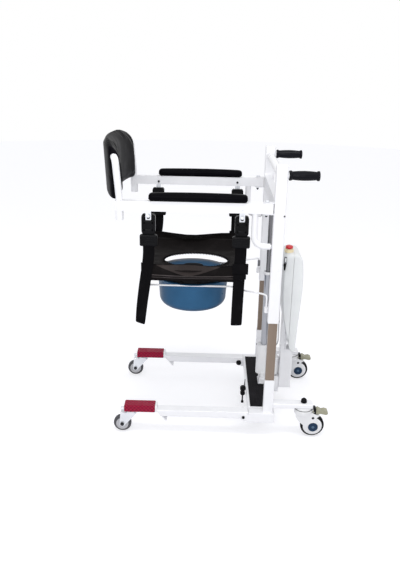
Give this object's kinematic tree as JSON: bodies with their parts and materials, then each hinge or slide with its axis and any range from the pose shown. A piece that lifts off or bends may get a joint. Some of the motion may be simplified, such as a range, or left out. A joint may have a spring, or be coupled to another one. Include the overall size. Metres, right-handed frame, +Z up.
{
  "type": "mobile patient lift",
  "caption": "Wheeled patient lift: telescoping two-column mast with actuator, swing-out arms, strap-hung split seat sling, lift-off backrest and sliding commode pan.",
  "frame": {"origin": "on the floor, under the middle of the lift's overall box", "axes": "+Z up, +X towards the attendant's grips and the rear casters, +Y to the attendant's right; the legs and the seat's open front point to -X"},
  "size_m": [0.9404, 0.591, 1.2205],
  "materials": {
    "white_powder_coat": "satin white powder coat",
    "zinc_plate": "bright zinc plate",
    "bronzed_steel": "dull bronzed steel tube",
    "aluminium": "drawn aluminium",
    "black_rubber": "moulded black rubber",
    "black_plastic": "moulded black plastic",
    "grey_tyre": "grey non-marking tread",
    "black_vinyl": "black vinyl over foam",
    "black_nylon": "woven black nylon",
    "crimson_sleeve": "quilted crimson cover",
    "pale_shell": "fine-textured pale grey plastic",
    "caster_shell": "white moulded plastic",
    "pedal_olive": "olive-grey moulded plastic",
    "pan_blue": "glossy blue plastic",
    "stop_red": "glossy red plastic"
  },
  "bodies": {
    "base": {"left_leg": "white_powder_coat", "left_leg_sleeve": "crimson_sleeve", "left_side_frame": "white_powder_coat", "left_guide_tube": "bronzed_steel", "left_stem_cap": "black_plastic", "right_leg": "white_powder_coat", "right_leg_sleeve": "crimson_sleeve", "right_side_frame": "white_powder_coat", "right_guide_tube": "bronzed_steel", "right_stem_cap": "black_plastic", "cross_member": "white_powder_coat", "footplate": "white_powder_coat", "foot_mat": "black_rubber", "actuator_housing": "pale_shell", "actuator_tube": "aluminium", "rear_post": "white_powder_coat", "control_box": "pale_shell", "actuator_cable": "black_plastic"},
    "carriage": {"left_column": "white_powder_coat", "left_grip": "black_rubber", "left_hinge_pin": "zinc_plate", "left_front_buckle": "black_plastic", "left_rear_buckle": "black_plastic", "right_column": "white_powder_coat", "right_grip": "black_rubber", "right_hinge_pin": "zinc_plate", "right_front_buckle": "black_plastic", "right_rear_buckle": "black_plastic", "top_bar": "white_powder_coat", "lower_bar": "white_powder_coat", "actuator_rod": "aluminium", "pan_frame": "white_powder_coat", "seat_sling": "black_nylon"},
    "battery": {"battery_pack": "pale_shell"},
    "stop_button": {"emergency_stop": "stop_red"},
    "lever": {"release_lever": "black_plastic"},
    "pan": {"commode_pan": "pan_blue"},
    "lid": {"pan_lid": "pan_blue"},
    "backrest": {"backrest_frame": "white_powder_coat", "backrest_pad": "black_vinyl"},
    "left_knob": {"left_leg_knob": "black_plastic"},
    "left_arm": {"left_arm": "white_powder_coat", "left_arm_pad": "black_vinyl", "left_front_tongue": "zinc_plate", "left_rear_tongue": "zinc_plate"},
    "left_front_fork": {"left_front_fork": "zinc_plate"},
    "left_front_wheel": {"left_front_wheel": "grey_tyre"},
    "left_rear_housing": {"left_rear_caster_housing": "caster_shell"},
    "left_rear_wheel": {"left_rear_wheel": "black_rubber"},
    "left_brake": {"left_brake_pedal": "pedal_olive"},
    "right_knob": {"right_leg_knob": "black_plastic"},
    "right_arm": {"right_arm": "white_powder_coat", "right_arm_pad": "black_vinyl", "right_front_tongue": "zinc_plate", "right_rear_tongue": "zinc_plate"},
    "right_front_fork": {"right_front_fork": "zinc_plate"},
    "right_front_wheel": {"right_front_wheel": "grey_tyre"},
    "right_rear_housing": {"right_rear_caster_housing": "caster_shell"},
    "right_rear_wheel": {"right_rear_wheel": "black_rubber"},
    "right_brake": {"right_brake_pedal": "pedal_olive"}
  },
  "joints": [
    {"name": "lift_travel", "type": "slide", "parent": "base", "child": "carriage", "axis": [0, 0, 1], "range_m": [-0.25, 0.05]},
    {"name": "battery_lift_off", "type": "slide", "parent": "base", "child": "battery", "axis": [0, 0, 1], "range_m": [0, 0.08]},
    {"name": "stop_press", "type": "slide", "parent": "base", "child": "stop_button", "axis": [0, 0, 1], "range_m": [-0.004, 0], "stiffness_N_per_m": 200},
    {"name": "release_lever_turn", "type": "hinge", "parent": "base", "child": "lever", "pos_m": [0.12474, -0.05, 0.078], "axis": [0, 1, 0], "range_deg": [-30, 0]},
    {"name": "pan_slide", "type": "slide", "parent": "carriage", "child": "pan", "axis": [1, 0, 0], "range_m": [-0.36, 0]},
    {"name": "lid_lift", "type": "slide", "parent": "pan", "child": "lid", "axis": [0, 0, 1], "range_m": [0, 0.012]},
    {"name": "left_knob_turn", "type": "hinge", "parent": "base", "child": "left_knob", "pos_m": [0.11674, -0.257, 0.091], "axis": [0, 1, 0], "continuous": true},
    {"name": "left_arm_swing", "type": "hinge", "parent": "carriage", "child": "left_arm", "pos_m": [0.16974, -0.2585, 0.96], "axis": [0, 0, 1], "range_deg": [0, 90]},
    {"name": "left_front_swivel", "type": "hinge", "parent": "base", "child": "left_front_fork", "pos_m": [-0.35626, -0.257, 0.0915], "axis": [0, 0, 1], "continuous": true},
    {"name": "left_front_roll", "type": "hinge", "parent": "left_front_fork", "child": "left_front_wheel", "pos_m": [-0.39276, -0.257, 0.0375], "axis": [0, 1, 0], "continuous": true},
    {"name": "left_rear_swivel", "type": "hinge", "parent": "base", "child": "left_rear_housing", "pos_m": [0.36904, -0.257, 0.1347], "axis": [0, 0, 1], "continuous": true},
    {"name": "left_rear_roll", "type": "hinge", "parent": "left_rear_housing", "child": "left_rear_wheel", "pos_m": [0.41024, -0.257, 0.05], "axis": [0, 1, 0], "continuous": true},
    {"name": "left_brake_press", "type": "hinge", "parent": "left_rear_housing", "child": "left_brake", "pos_m": [0.41424, -0.257, 0.1165], "axis": [0, 1, 0], "range_deg": [0, 12]},
    {"name": "right_knob_turn", "type": "hinge", "parent": "base", "child": "right_knob", "pos_m": [0.11674, 0.257, 0.091], "axis": [0, 1, 0], "continuous": true},
    {"name": "right_arm_swing", "type": "hinge", "parent": "carriage", "child": "right_arm", "pos_m": [0.16974, 0.2585, 0.96], "axis": [0, 0, 1], "range_deg": [-90, 0]},
    {"name": "right_front_swivel", "type": "hinge", "parent": "base", "child": "right_front_fork", "pos_m": [-0.35626, 0.257, 0.0915], "axis": [0, 0, 1], "continuous": true},
    {"name": "right_front_roll", "type": "hinge", "parent": "right_front_fork", "child": "right_front_wheel", "pos_m": [-0.39276, 0.257, 0.0375], "axis": [0, 1, 0], "continuous": true},
    {"name": "right_rear_swivel", "type": "hinge", "parent": "base", "child": "right_rear_housing", "pos_m": [0.36904, 0.257, 0.1347], "axis": [0, 0, 1], "continuous": true},
    {"name": "right_rear_roll", "type": "hinge", "parent": "right_rear_housing", "child": "right_rear_wheel", "pos_m": [0.41024, 0.257, 0.05], "axis": [0, 1, 0], "continuous": true},
    {"name": "right_brake_press", "type": "hinge", "parent": "right_rear_housing", "child": "right_brake", "pos_m": [0.41424, 0.257, 0.1165], "axis": [0, 1, 0], "range_deg": [0, 12]},
    {"name": "backrest_lift_off", "type": "slide", "parent": "left_arm", "child": "backrest", "axis": [0, 0, 1], "range_m": [0, 0.1]}
  ]
}
